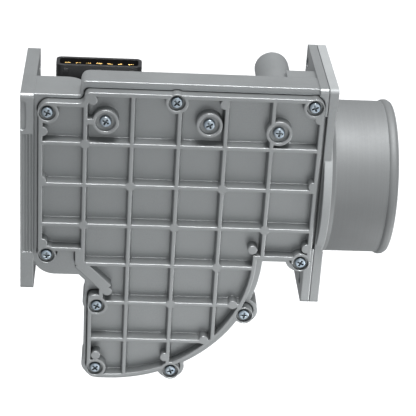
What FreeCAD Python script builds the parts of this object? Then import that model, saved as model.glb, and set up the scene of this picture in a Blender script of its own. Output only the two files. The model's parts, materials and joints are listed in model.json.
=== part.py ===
import FreeCAD, Part
import math
import os
import re
from FreeCAD import Rotation, Vector

# A vane-type air flow meter, in millimetres. The origin is the centre of the air duct's neck line on
# the outer face of the inlet flange; +X runs downstream, +Y away from the ribbed base cover, +Z up.

DOC = FreeCAD.newDocument("AirFlowMeter")

SIZES = {
    # Flow path and flanges.
    "body_length": 142.2,
    "duct_floor": -26.0,
    "duct_roof": 36.5,
    "duct_back": 22.0,
    "duct_round": 9.0,
    "roof_wall": 2.8,
    "port_front": -22.5,
    "port_back": 20.5,
    "port_inset": 2.0,
    "port_corner": 6.0,
    "duct_wall": 3.8,
    "flange_front": -32.0,
    "flange_back": 27.0,
    "flange_corner": 2.0,
    "inlet_flange_thick": 6.3,
    "inlet_flange_top": 51.8,
    "inlet_flange_bottom": -51.5,
    "outlet_flange_thick": 4.2,
    "outlet_flange_top": 59.0,
    "outlet_flange_bottom": -55.5,
    "inlet_bolt_rise": 88.0,
    "outlet_bolt_rise": 98.0,
    "bolt_depth_pitch": 43.0,
    "bolt_hole_radius": 3.3,
    "inlet_bolt_reach": 8.0,
    # Outlet adapter: plate and hose neck.
    "gasket_thick": 0.3,
    "plate_thick": 4.3,
    "plate_pad": 0.6,
    "pad_height": 11.0,
    "neck_length": 32.2,
    "neck_radius": 37.6,
    "neck_wall": 2.3,
    "bead_height": 0.9,
    "bead_width": 5.0,
    "collar_radius": 39.2,
    "collar_width": 2.2,
    # Base cover outline.
    "cover_left": 8.6,
    "cover_right": 140.4,
    "cover_bottom": -28.0,
    "cover_foot": -29.7,
    "cover_low_top": 49.5,
    "cover_high_top": 55.1,
    "cover_step": 29.5,
    "shoulder_left": 26.4,
    "shoulder_bottom": -35.5,
    "slope_top": -36.5,
    "slope_length": 19.6,
    "slope_depth": 16.0,
    "gusset_width": 5.6,
    "sector_left": 33.1,
    "sector_neck": 38.4,
    "sector_radius": 70.3,
    "corner_round": 4.6,
    "step_round": 2.6,
    "side_top": -52.0,
    "throat_share": 0.5,
    "lug_radius": 4.5,
    "rim_lug_radius": 7.0,
    # Base cover depth and ribs.
    "cover_front": -35.6,
    "cover_back": -26.9,
    "rib_depth": 5.6,
    "rib_width": 1.7,
    "rib_draft": 0.7,
    "rib_pitch": 21.7,
    "row_pitch": 21.3,
    "first_column": 30.1,
    "first_row": 29.0,
    "cell_grow": -1.9,
    "land_depth": 2.1,
    "land_radius": 3.9,
    "land_wall": 1.4,
    "pad_radius": 2.3,
    "ring_outer": 6.1,
    "ring_inner": 4.7,
    "cover_clearance": 0.5,
    # Housing round the cover.
    "rim_front": -30.6,
    "rim_grow": 3.6,
    "rim_side_grow": 1.9,
    "deck_round": 5.0,
    "low_deck_round": 9.0,
    "rim_back": -17.0,
    "land_width": 4.0,
    "seal_thick": 0.4,
    "seal_grow": -3.4,
    "low_deck_top": 51.6,
    "low_deck_back": -9.1,
    "screw_boss": 4.2,
    "bulge_left": 5.5,
    "bulge_right": 32.5,
    "bulge_bottom": -43.4,
    "bulge_round": 11.0,
    "bulge_back": -8.0,
    "pocket_depth": 0.8,
    "notch_corner": 1.5,
    "groove_width": 1.1,
    "groove_depth": 2.6,
    "web_top": 44.5,
    "channel_back": -20.6,
    "channel_right": 131.0,
    "bypass_port_width": 3.0,
    # Vane and shaft.
    "shaft_x": 44.0,
    "shaft_z": -29.5,
    "shaft_radius": 3.0,
    "shaft_front": -28.6,
    "shaft_reach": 17.7,
    "hub_radius": 9.0,
    "hub_gap": 0.6,
    "vane_length": 65.0,
    "vane_offset": 6.0,
    "vane_thick": 2.6,
    "vane_gap": 0.6,
    "damper_length": 65.5,
    "damper_offset": 4.0,
    "damper_ceiling": -31.6,
    "bearing_clearance": 0.04,
    "bush_radius": 5.0,
    "bush_boss_radius": 6.6,
    "front_bush_length": 5.0,
    "bumper_height": 12.0,
    "bumper_thick": 3.2,
    "bumper_bottom": -90.0,
    "stop_face": 42.0,
    "clip_setback": 1.6,
    "clip_thick": 0.8,
    # Electronics box at the back.
    "box_left": 7.0,
    "box_right": 84.0,
    "box_bottom": -62.0,
    "box_top": 20.0,
    "box_depth": 20.2,
    "box_wall": 3.0,
    "box_corner": 6.0,
    "lid_thick": 2.4,
    "lid_lip": 1.6,
    "lid_seal": 0.5,
    "tower_radius": 7.5,
    "tower_length": 6.4,
    # Spring wheel, spring and wiper.
    "wheel_radius": 17.0,
    "wheel_wall": 1.6,
    "wheel_floor": 1.3,
    "wheel_gap": 3.4,
    "wheel_depth": 6.4,
    "tooth_height": 0.9,
    "tooth_pitch_deg": 6.0,
    "hub_sleeve_radius": 5.4,
    "sleeve_gap": 1.0,
    "sleeve_length": 8.4,
    "spring_turns": 3.5,
    "spring_inner": 6.6,
    "spring_outer": 13.9,
    "spring_strip": 0.35,
    "spring_width": 3.0,
    "arm_reach": 30.0,
    "arm_thick": 1.2,
    "arm_width": 7.0,
    "arm_setback": 5.2,
    "arm_angle": 42.0,
    "weight_reach": 13.5,
    "weight_radius": 5.5,
    "weight_depth": 5.0,
    "board_left": 17.0,
    "board_right": 71.0,
    "board_bottom": -11.4,
    "board_top": 9.0,
    "board_rise": 8.6,
    "board_thick": 1.2,
    "post_radius": 2.6,
    "board_screw_radius": 1.0,
    # Connector.
    "socket_left": 13.6,
    "socket_right": 56.4,
    "socket_setback": 16.4,
    "socket_thick": 11.4,
    "socket_top": 41.8,
    "socket_wall": 1.7,
    "socket_depth": 13.0,
    "socket_corner": 3.0,
    "socket_foot": 2.4,
    "pin_pitch": 5.3,
    "pin_width": 2.8,
    "pin_thick": 0.8,
    "pin_rise": 11.6,
    "pin_setback": 1.6,
    # Bypass adjuster.
    "boss_x": 120.0,
    "boss_z": 48.3,
    "boss_radius": 8.4,
    "boss_back": 19.0,
    "bypass_radius": 5.0,
    "seat_radius": 3.4,
    "seat_back": -9.0,
    "thread_clearance": 0.05,
    "bypass_screw_rear": 14.0,
    "bypass_screw_length": 20.0,
    "ring_section": 1.1,
    "ring_setback": 8.0,
    "deck_web_back": -6.0,
    # Fasteners and the temperature sensor.
    "screw_radius": 1.5,
    "screw_head_radius": 2.75,
    "screw_head_height": 2.0,
    "screw_length": 13.0,
    "screw_clearance": 0.12,
    "sink_clearance": 0.1,
    "m6_radius": 3.0,
    "m6_head_radius": 5.6,
    "m6_head_height": 3.0,
    "m6_length": 7.9,
    "sensor_x": 17.0,
    "sensor_z": 6.0,
    "sensor_radius": 4.5,
    "sensor_reach": 12.0,
}

# Depths that follow from the sizes, each counted from the back wall's outer face.
DEPTHS = {
    "back_wall": "(duct_back + duct_wall)",
    "box_back": "(back_wall + box_depth)",
    "shaft_rear": "(back_wall + shaft_reach)",
    "wheel_front": "(back_wall + wheel_gap)",
    "sleeve_front": "(back_wall + tower_length + sleeve_gap)",
    "sleeve_rear": "(sleeve_front + sleeve_length)",
    "arm_front": "(sleeve_front + arm_setback)",
    "board_front": "(back_wall + board_rise)",
    "socket_front": "(box_back - socket_setback)",
    "socket_back": "(socket_front + socket_thick)",
}


def polar(angle, radius):
    """A centre at a radius from the shaft, turned from +Z towards +X."""
    sine, cosine = math.sin(math.radians(angle)), math.cos(math.radians(angle))
    return ("shaft_x + (%s) * %.6f" % (radius, sine), "shaft_z + (%s) * %.6f" % (radius, cosine))


# Screws round the cover's edge, clockwise from the lower left, and through its ring bosses, as (x, z).
EDGE_SCREWS = [
    ("cover_left + 4.0", "cover_low_top - 5.3"),
    ("cover_step + 42.4", "cover_high_top - 3.9"),
    ("cover_right - 4.6", "cover_high_top - 4.2"),
    ("cover_left + 4.1", "cover_bottom - 2.6"),
    ("sector_left + 4.3", "side_top - 6.4"),
    ("sector_left + 4.3", "shaft_z - sector_radius + 5.2"),
    polar(154.66, "sector_radius + 2.6"),
    polar(115.87, "sector_radius + 3.3"),
    ("cover_right - 4.6", "cover_foot - 1.5"),
]
WEB_SCREWS = [
    ("cover_step + 9.9", "duct_roof + 4.0"),
    ("cover_step + 57.9", "duct_roof + 4.0"),
    ("cover_right - 20.3", "duct_roof + 1.0"),
]
# Rib crossings, as (column, row), where the mould's ejector pins leave a round pad.
EJECTOR_PADS = [(0, 0), (1, 1), (0, 2), (2, 2), (3, 1), (4, 2), (2, 4), (3, 3)]

# Further pads beside the cover's rim, as (x, z).
RIM_PADS = [
    (10.5, 34.9), (33.2, "cover_high_top - 3.8"), (9.9, 9.6), (10.8, -24.0), (42.3, -49.7),
    (37.5, -87.0), (72.0, -87.2), (104.2, -55.8), (91.0, -76.6), (111.9, -24.6), (138.0, -23.2),
    (138.4, 10.4), (94.1, "cover_high_top - 4.0"), (138.4, 45.2),
]

SHEET = DOC.addObject("Spreadsheet::Sheet", "Sizes")
for row, (alias, number) in enumerate(SIZES.items(), start=1):
    SHEET.set("A%d" % row, alias)
    SHEET.set("B%d" % row, str(number))
    SHEET.setAlias("B%d" % row, alias)
DOC.recompute()

AXIS_TURN = {
    "X": Rotation(Vector(0, 1, 0), 90),
    "Y": Rotation(Vector(1, 0, 0), -90),
    "Z": Rotation(),
}


def bound(text):
    """An expression with every size's name pointed at the sheet, and every depth spelled out."""
    def point(word):
        name = word.group()
        if name in DEPTHS:
            return bound(DEPTHS[name])
        return "Sizes." + name if name in SIZES else name
    return re.sub(r"[a-z][a-z0-9_]*", point, str(text))


def bind(obj, **texts):
    for name, text in texts.items():
        obj.setExpression(name, bound(text))
    return obj


def put(obj, at):
    for axis, text in zip("xyz", at):
        obj.setExpression("Placement.Base." + axis, bound(text))
    return obj


def size(name):
    return float(getattr(SHEET, name))


def block(name, x, y, z):
    """A box between a low and a high expression on each axis."""
    obj = DOC.addObject("Part::Box", name)
    spans = ["(%s) - (%s)" % (high, low) for low, high in (x, y, z)]
    bind(obj, Length=spans[0], Width=spans[1], Height=spans[2])
    return put(obj, (x[0], y[0], z[0]))


def axial_place(axis, centre, low):
    """The placement of a round solid from its two centre coordinates and its low end."""
    first, second = centre
    return {"X": (low, first, second), "Y": (first, low, second), "Z": (first, second, low)}[axis]


def rod(name, axis, radius, centre, span):
    """A cylinder along an axis, from span's low to its high expression."""
    obj = DOC.addObject("Part::Cylinder", name)
    bind(obj, Radius=radius, Height="(%s) - (%s)" % (span[1], span[0]))
    obj.Placement.Rotation = AXIS_TURN[axis]
    return put(obj, axial_place(axis, centre, span[0]))


def cone(name, axis, radii, centre, span):
    obj = DOC.addObject("Part::Cone", name)
    bind(obj, Radius1=radii[0], Radius2=radii[1], Height="(%s) - (%s)" % (span[1], span[0]))
    obj.Placement.Rotation = AXIS_TURN[axis]
    return put(obj, axial_place(axis, centre, span[0]))


def fuse(name, *shapes):
    obj = DOC.addObject("Part::MultiFuse", name)
    obj.Shapes = list(shapes)
    obj.Refine = True
    return obj


def common(name, *shapes):
    obj = DOC.addObject("Part::MultiCommon", name)
    obj.Shapes = list(shapes)
    return obj


def cut(name, base, *tools):
    obj = DOC.addObject("Part::Cut", name)
    obj.Base = base
    obj.Tool = tools[0] if len(tools) == 1 else fuse(name + "_tools", *tools)
    obj.Refine = True
    return obj


def group(name, *shapes):
    """Separate solids that share one node, such as a set of screws."""
    obj = DOC.addObject("Part::Compound", name)
    obj.Links = list(shapes)
    return obj


def fillet(name, base, radius, chosen):
    """Rounds the straight edges that chosen(direction, middle point) picks."""
    DOC.recompute()
    edges = []
    for index, edge in enumerate(base.Shape.Edges, start=1):
        if edge.Curve.TypeId != "Part::GeomLine":
            continue
        direction = edge.tangentAt(edge.FirstParameter)
        middle = edge.valueAt((edge.FirstParameter + edge.LastParameter) / 2)
        if chosen(direction, middle):
            edges.append((index, radius, radius))
    if not edges:
        raise ValueError(name + " found no edge to round")
    obj = DOC.addObject("Part::Fillet", name)
    obj.Base = base
    obj.Edges = edges
    return obj


def along(axis):
    """Picks the edges that run along one axis."""
    unit = {"X": Vector(1, 0, 0), "Y": Vector(0, 1, 0), "Z": Vector(0, 0, 1)}[axis]
    return lambda direction, middle: abs(direction.dot(unit)) > 0.999


def depth_edges_at(*places):
    """Picks the edges along Y that pass a given (x, z)."""
    def chosen(direction, middle):
        near = any(math.hypot(middle.x - x, middle.z - z) < 0.3 for x, z in places)
        return abs(direction.y) > 0.999 and near
    return chosen


def rounded_block(name, x, y, z, axis, radius):
    return fillet(name + "_rounded", block(name, x, y, z), size(radius), along(axis))


# ---- Outline shared by the base cover, its seal and the housing's rim ----

def spread(grow):
    """The number behind a growth, which is a size's name or 0."""
    return size(grow) if grow in SIZES else float(grow)


def quarter(name, radius, y):
    """The quarter disc below and downstream of the shaft."""
    obj = rod(name, "Y", radius, ("shaft_x", "shaft_z"), y)
    obj.Angle = 90
    return obj


def slope_block(name, grow, depth, y):
    """A block turned by 45 degrees, whose lower left face is the outline's slanted edge."""
    obj = DOC.addObject("Part::Box", name)
    bind(obj, Length="slope_length", Width="(%s) - (%s)" % (y[1], y[0]), Height=depth)
    obj.Placement.Rotation = Rotation(Vector(0, 1, 0), 45)
    reach = " - (%s) / sqrt(2)" % grow
    return put(obj, ("shoulder_left" + reach, y[0], "slope_top" + reach))


def outline(name, grow, y, lug=None, side=None):
    """The cover's outline, grown and extruded along Y, with screw lugs of a radius.

    The step at the top and the chamber's left side can grow by an amount of their own.
    """
    side = side or grow
    left, right = "cover_left - " + grow, "cover_right + " + grow
    pieces = [
        block(name + "_main", (left, right), y,
              ("cover_bottom - " + grow, "cover_low_top + " + grow)),
        block(name + "_high", ("cover_step - " + side, right), y,
              ("0", "cover_high_top + " + grow)),
        block(name + "_foot", ("shaft_x", right), y, ("cover_foot - " + grow, "0")),
        block(name + "_shoulder", ("shoulder_left - " + grow, "shaft_x"), y,
              ("shoulder_bottom - " + grow, "0")),
        slope_block(name + "_slope", grow, "slope_depth + " + grow, y),
        block(name + "_throat", ("sector_neck - " + grow, "shaft_x"), y,
              ("shaft_z - sector_radius * throat_share", "shaft_z")),
        quarter(name + "_sector", "sector_radius + " + grow, y),
        block(name + "_bridge", ("shaft_x", "shaft_x + sector_radius + " + grow), y,
              ("shaft_z", "0")),
        block(name + "_side", ("sector_left - " + side, "shaft_x"), y,
              ("shaft_z - sector_radius - " + grow, "side_top + " + grow)),
    ]
    whole = fuse(name + "_whole", *pieces)
    growth = spread(grow)
    left, right = size("cover_left") - growth, size("cover_right") + growth
    step, high = size("cover_step") - spread(side), size("cover_high_top") + growth
    low = size("cover_low_top") + growth
    corner = (size("sector_left") - spread(side),
              size("shaft_z") - size("sector_radius") - growth)
    cornered = fillet(name + "_cornered", whole, size("corner_round") + max(growth, 0.0),
                      depth_edges_at((left, low), (right, high), corner))
    turns = [(step, low), (step, high)]
    if side == grow:
        turns.append((size("sector_left") - growth, size("side_top") + growth))
    turned = fillet(name + "_turned", cornered, size("step_round"), depth_edges_at(*turns))
    if lug is None:
        return turned
    rods = [rod("%s_lug%d" % (name, number), "Y", lug, (x, z), y)
            for number, (x, z) in enumerate(EDGE_SCREWS, start=1)]
    return fuse(name + "_lugged", turned, *rods)


# ---- Base cover ----

def drafted_rib(name, axis, centre, span):
    """A rib along X or Z whose root, at the cell's floor, is wider than its face."""
    obj = DOC.addObject("Part::Wedge", name)
    face, root = "rib_width / 2", "(rib_width / 2 + rib_draft)"
    length = "(%s) - (%s)" % (span[1], span[0])
    bind(obj, Ymin="0", Ymax="rib_depth")
    if axis == "Z":
        bind(obj, Xmin="-" + face, Xmax=face, Zmin="0", Zmax=length,
             X2min="-" + root, X2max=root, Z2min="0", Z2max=length)
        return put(obj, (centre, "cover_front", span[0]))
    bind(obj, Zmin="-" + face, Zmax=face, Xmin="0", Xmax=length,
         Z2min="-" + root, Z2max=root, X2min="0", X2max=length)
    return put(obj, (span[0], "cover_front", centre))


def column(index):
    return "first_column + rib_pitch * %d" % index


def row_height(index):
    return "first_row - row_pitch * %d" % index


def make_base_cover():
    depth = ("cover_front", "cover_back")
    cell = ("cover_front - 1", "cover_front + rib_depth")
    face = ("cover_front", "cover_front + rib_depth")
    kept = []
    for index in range(5):
        kept.append(drafted_rib("column_rib%d" % index, "Z", column(index),
                                ("shaft_z - sector_radius", "cover_high_top")))
    for index in range(6):
        kept.append(drafted_rib("row_rib%d" % index, "X", row_height(index),
                                ("cover_left", "cover_right")))
    for number, (x, z) in enumerate(EDGE_SCREWS, start=1):
        kept.append(rod("land_wall%d" % number, "Y", "land_radius + land_wall", (x, z), face))
    for number, (x, z) in enumerate(WEB_SCREWS, start=1):
        kept.append(rod("ring%d" % number, "Y", "ring_outer", (x, z), face))
    for number, (index, level) in enumerate(EJECTOR_PADS, start=1):
        kept.append(rod("ejector_pad%d" % number, "Y", "pad_radius",
                        (column(index), row_height(level)), face))
    for number, (x, z) in enumerate(RIM_PADS, start=1):
        kept.append(rod("rim_pad%d" % number, "Y", "pad_radius", (x, z), face))
    ring_x, ring_z = WEB_SCREWS[0]
    kept.append(block("ring_link", ("first_column", ring_x), face,
                      ("%s - pad_radius * 0.6" % ring_z, "%s + pad_radius * 0.6" % ring_z)))
    kept.append(slope_block("gusset", "0", "gusset_width", face))
    kept.append(block("shoulder_face", ("shoulder_left", "first_column"), face,
                      ("slope_top", "cover_bottom + rib_width")))
    cells = cut("cells", outline("cell", "cell_grow", cell), *kept)
    plate = fuse("cover_plate", outline("cover", "0", depth, "lug_radius"),
                 rod("bearing_boss", "Y", "bush_boss_radius", ("shaft_x", "shaft_z"),
                     ("cover_back - 1", "cover_back + front_bush_length - 0.4")))
    holes = [rod("cover_bush_bore", "Y", "bush_radius + bearing_clearance", ("shaft_x", "shaft_z"),
                 ("shaft_front - 0.2", "cover_back + front_bush_length"))]
    for number, (x, z) in enumerate(EDGE_SCREWS, start=1):
        holes.append(rod("land%d" % number, "Y", "land_radius", (x, z),
                         ("cover_front - 1", "cover_front + land_depth")))
        holes.append(rod("cover_screw_hole%d" % number, "Y", "screw_radius + screw_clearance",
                         (x, z), ("cover_front", "cover_back + 1")))
    for number, (x, z) in enumerate(WEB_SCREWS, start=1):
        holes.append(rod("ring_well%d" % number, "Y", "ring_inner", (x, z),
                         ("cover_front - 1", "cover_front + land_depth")))
        holes.append(rod("ring_screw_hole%d" % number, "Y", "screw_radius + screw_clearance",
                         (x, z), ("cover_front", "cover_back + 1")))
    return cut("base_cover", plate, cells, *holes)


def make_cover_gasket():
    depth = ("cover_back", "cover_back + seal_thick")
    wide = ("cover_back - 1", "cover_back + seal_thick + 1")
    ring = outline("seal", "0", depth, "lug_radius")
    inside = outline("seal_inside", "seal_grow", wide)
    holes = [rod("seal_hole%d" % number, "Y", "screw_radius + screw_clearance", (x, z), wide)
             for number, (x, z) in enumerate(EDGE_SCREWS, start=1)]
    posts = [rod("seal_post%d" % number, "Y", "screw_boss", (x, z), wide)
             for number, (x, z) in enumerate(EDGE_SCREWS, start=1)]
    return cut("cover_gasket", ring, cut("seal_window", inside, *posts), *holes)


# ---- Housing ----

def bolt_places(rise, middle):
    """The four corners of a flange's bolt pattern, as (y, z) expressions."""
    places = []
    for y_sign in "-+":
        for z_sign in "-+":
            places.append(("0 %s bolt_depth_pitch / 2" % y_sign,
                           "%s %s %s / 2" % (middle, z_sign, rise)))
    return places


INLET_BOLTS = bolt_places("inlet_bolt_rise", "0")
OUTLET_BOLTS = bolt_places("outlet_bolt_rise", "(outlet_flange_top + outlet_flange_bottom) / 2")
OUTLET_FACE = "body_length - outlet_flange_thick"
LAND = "cover_back + seal_thick"
BOARD_POSTS = [(20.0, -8.6), (68.0, -8.6), (65.0, 5.6)]


def back_rounded(name, x, y, z, extra):
    """A block whose upper back edge is rounded, as the duct is along its length."""
    base = block(name, x, y, z)
    DOC.recompute()
    box = base.Shape.BoundBox
    return fillet(name + "_rounded", base, size("duct_round") + extra,
                  lambda direction, middle: abs(direction.x) > 0.999
                  and middle.y > box.YMax - 0.01 and middle.z > box.ZMax - 0.01)


def corner_tool(name, corner, radius, z, right):
    """What rounding a back corner along Z takes away, on the block's right or left side."""
    x, y = corner
    sign = "-" if right else "+"
    far = "%s %s %s" % (x, sign, radius)
    span = (far, x + " + 0.5") if right else (x + " - 0.5", far)
    square = block(name + "_square", span, ("%s - %s" % (y, radius), y + " + 0.5"), z)
    return cut(name, square, rod(name + "_rod", "Z", radius, (far, "%s - %s" % (y, radius)),
                                 ("%s - 1" % z[0], "%s + 1" % z[1])))


def make_shell():
    """The casting's outside, before it is hollowed."""
    rim = cut("rim", outline("rim", "rim_grow", ("rim_front", "rim_back"), "rim_lug_radius",
                             "rim_side_grow"),
              block("past_outlet", ("body_length", "body_length + 20"), ("-60", "60"),
                    ("-120", "80")),
              block("above_low_deck", ("-5", "cover_step - rim_side_grow"), ("-60", "60"),
                    ("low_deck_top", "low_deck_top + 20")),
              corner_tool("deck_corner", ("cover_step - rim_side_grow", "rim_back"), "deck_round",
                          ("low_deck_top", "low_deck_top + 20"), False))
    low_deck = cut("low_deck",
                   block("low_deck_block", ("3", "cover_step"),
                         ("rim_front", "low_deck_back"), ("duct_roof", "low_deck_top")),
                   corner_tool("low_deck_corner", ("cover_step", "low_deck_back"),
                               "low_deck_round", ("0", "low_deck_top + 1"), True))
    rim_side = block("rim_side", ("sector_left - rim_side_grow", "shaft_x"),
                     ("rim_front", "rim_back"),
                     ("side_top - corner_round", "bulge_bottom - 3"))
    bulge = fillet("bulge_rounded",
                   block("bulge", ("bulge_left", "bulge_right"), ("rim_front", "bulge_back"),
                         ("bulge_bottom", "duct_floor")),
                   size("bulge_round"),
                   depth_edges_at((size("bulge_left"), size("bulge_bottom"))))
    duct = back_rounded("duct_shell", ("1", "body_length - 1"), ("rim_back - 2", "back_wall"),
                        ("duct_floor - duct_wall", "duct_roof + roof_wall"), 3.0)
    side = fillet("chamber_side_rounded",
                  block("chamber_side", ("sector_left + land_width - duct_wall", "shaft_x"),
                        ("rim_back - 2", "back_wall"),
                        ("shaft_z - sector_radius + land_width - duct_wall", "duct_floor")),
                  size("corner_round"),
                  depth_edges_at((size("sector_left") + size("land_width") - size("duct_wall"),
                                  size("shaft_z") - size("sector_radius")
                                  + size("land_width") - size("duct_wall"))))
    sector = quarter("chamber_shell", "sector_radius - land_width + duct_wall",
                     ("rim_back - 2", "back_wall"))
    box = rounded_block("box_shell", ("box_left", "box_right"), ("duct_back", "box_back"),
                        ("box_bottom", "box_top"), "Y", "box_corner")
    inlet = rounded_block("inlet_flange", ("0", "inlet_flange_thick"),
                          ("flange_front", "flange_back"),
                          ("inlet_flange_bottom", "inlet_flange_top"), "X", "flange_corner")
    outlet = rounded_block("outlet_flange", (OUTLET_FACE, "body_length"),
                           ("flange_front", "flange_back"),
                           ("outlet_flange_bottom", "outlet_flange_top"), "X", "flange_corner")
    boss = rod("bypass_boss", "Y", "boss_radius", ("boss_x", "boss_z"), ("rim_back - 2", "boss_back"))
    web = block("deck_web", ("boss_x + boss_radius / 2", "body_length - 1"),
                ("rim_back - 2", "deck_web_back"), ("duct_roof", "cover_high_top + rim_grow - 1.2"))
    return fuse("shell", rim, rim_side, low_deck, bulge, duct, side, sector, box, inlet, outlet,
                boss, web)


def port(name, x):
    """The duct's rounded rectangular opening, which goes through both flanges."""
    return rounded_block(name, x, ("port_front", "port_back"),
                         ("duct_floor + port_inset", "duct_roof - port_inset"), "X", "port_corner")


def make_voids():
    """The air duct, the bypass channel and the damping chamber, left clear of the screw bosses."""
    land_to = (LAND + " - 2", "duct_back")
    duct = back_rounded("duct_void", ("cover_left + land_width", "cover_right - land_width"),
                        land_to, ("duct_floor", "duct_roof"), 0.0)
    ports = port("port_void", ("-1", "body_length + 1"))
    channel = block("channel_void", ("cover_step + land_width", "channel_right"),
                    (LAND + " - 2", "channel_back"), ("web_top", "cover_high_top - land_width"))
    bypass_port = block("bypass_port", ("cover_step + land_width",
                                        "cover_step + land_width + bypass_port_width"),
                        (LAND + " - 2", "channel_back"), ("duct_roof - 1", "web_top + 1"))
    sector = quarter("chamber_void", "sector_radius - land_width", land_to)
    side = block("chamber_side_void", ("sector_left + land_width", "shaft_x"), land_to,
                 ("shaft_z - sector_radius + land_width", "duct_floor"))
    below = block("below_ceiling", ("0", "body_length"), ("-60", "60"), ("-120", "damper_ceiling"))
    chamber = common("chamber", fuse("chamber_both", sector, side), below)
    hub = rod("hub_void", "Y", "hub_radius + hub_gap", ("shaft_x", "shaft_z"), land_to)
    bosses = [rod("screw_boss%d" % number, "Y", "screw_boss", (x, z), (LAND, "rim_back"))
              for number, (x, z) in enumerate(EDGE_SCREWS + WEB_SCREWS, start=1)]
    return cut("voids", fuse("all_voids", duct, ports, channel, bypass_port, chamber, hub), *bosses)


def make_housing():
    recess = outline("recess", "cover_clearance", ("rim_front - 2", LAND),
                     "lug_radius + cover_clearance")
    box_void = block("box_void", ("box_left + box_wall", "box_right - box_wall"),
                     ("back_wall", "box_back + 1"), ("box_bottom + box_wall", "box_top - box_wall"))
    groove = block("outlet_groove", ("body_length - groove_width", "body_length + 1"),
                   ("flange_front - 1", "flange_front + groove_depth"),
                   ("duct_floor + 1", "cover_low_top - 4"))
    flange_grooves = [
        block("flange_groove%d" % number, (low, high),
              ("flange_front - 1", "flange_front + pocket_depth"), ("duct_floor - 5", "duct_roof - 5"))
        for number, (low, high) in enumerate((("0.9", "2.5"), ("3.1", "4.0"), ("4.6", "5.6")), start=1)]
    flange_notch = rounded_block("flange_notch", ("-2", "2.5"),
                                 ("flange_front - 1", "flange_front + pocket_depth"),
                                 ("duct_roof - 3", "inlet_flange_top - 4"), "Y", "notch_corner")
    hollow = cut("hollow", make_shell(), make_voids(), recess, box_void, groove, flange_notch,
                 *flange_grooves)
    tower = rod("bearing_tower", "Y", "tower_radius", ("shaft_x", "shaft_z"),
                ("duct_back + 1", "back_wall + tower_length"))
    posts = [rod("board_post%d" % number, "Y", "post_radius", (x, z),
                 ("duct_back + 1", "board_front"))
             for number, (x, z) in enumerate(BOARD_POSTS, start=1)]
    stop = block("stop_post", ("sector_left + land_width - 1", "stop_face"),
                 (LAND, "duct_back + 1"), ("bumper_bottom", "bumper_bottom + bumper_height"))
    inside = fuse("inside", hollow, tower, stop, *posts)
    bores = [
        rod("rear_bush_bore", "Y", "bush_radius + bearing_clearance", ("shaft_x", "shaft_z"),
            ("duct_back - 1", "back_wall + tower_length + 1")),
        rod("bypass_bore", "Y", "bypass_radius + thread_clearance", ("boss_x", "boss_z"),
            ("seat_back", "boss_back + 1")),
        rod("seat_bore", "Y", "seat_radius", ("boss_x", "boss_z"), ("channel_back - 1", "seat_back + 1")),
        rod("bypass_drop", "Z", "seat_radius", ("boss_x", "seat_back + seat_radius + 1"),
            ("duct_roof - 1", "boss_z")),
        rod("sensor_hole", "Y", "sensor_radius + screw_clearance", ("sensor_x", "sensor_z"),
            ("duct_back - 1", "back_wall + 1")),
        block("socket_window", ("socket_left + socket_foot", "socket_right - socket_foot"),
              ("socket_front + socket_wall", "socket_back - socket_wall"),
              ("box_top - box_wall - 1", "box_top + 1")),
    ]
    for number, (x, z) in enumerate(EDGE_SCREWS + WEB_SCREWS, start=1):
        bores.append(rod("tapped_hole%d" % number, "Y", "screw_radius + thread_clearance", (x, z),
                         (LAND + " - 2", "cover_front + land_depth + screw_length + 1")))
    for number, (x, z) in enumerate(BOARD_POSTS, start=1):
        bores.append(rod("post_hole%d" % number, "Y", "board_screw_radius + thread_clearance",
                         (x, z), ("back_wall - 1", "board_front + 1")))
    bores.append(rod("lock_screw_hole", "Y", "board_screw_radius + thread_clearance",
                     polar(LOCK_ANGLE, LOCK_SCREW_REACH), ("back_wall - 3", "back_wall + 1")))
    for number, place in enumerate(INLET_BOLTS, start=1):
        bores.append(rod("inlet_bolt_hole%d" % number, "X", "bolt_hole_radius", place,
                         ("-1", "inlet_bolt_reach")))
    for number, place in enumerate(OUTLET_BOLTS, start=1):
        bores.append(rod("outlet_bolt_hole%d" % number, "X", "m6_radius + thread_clearance", place,
                         (OUTLET_FACE + " - 0.2", "body_length + 1")))
    return cut("housing", inside, *bores)


# ---- Outlet adapter ----

PLATE_FACE = "body_length + gasket_thick"
PLATE_REAR = "body_length + gasket_thick + plate_thick"
NECK_END = "body_length + gasket_thick + plate_thick + neck_length"


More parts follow.
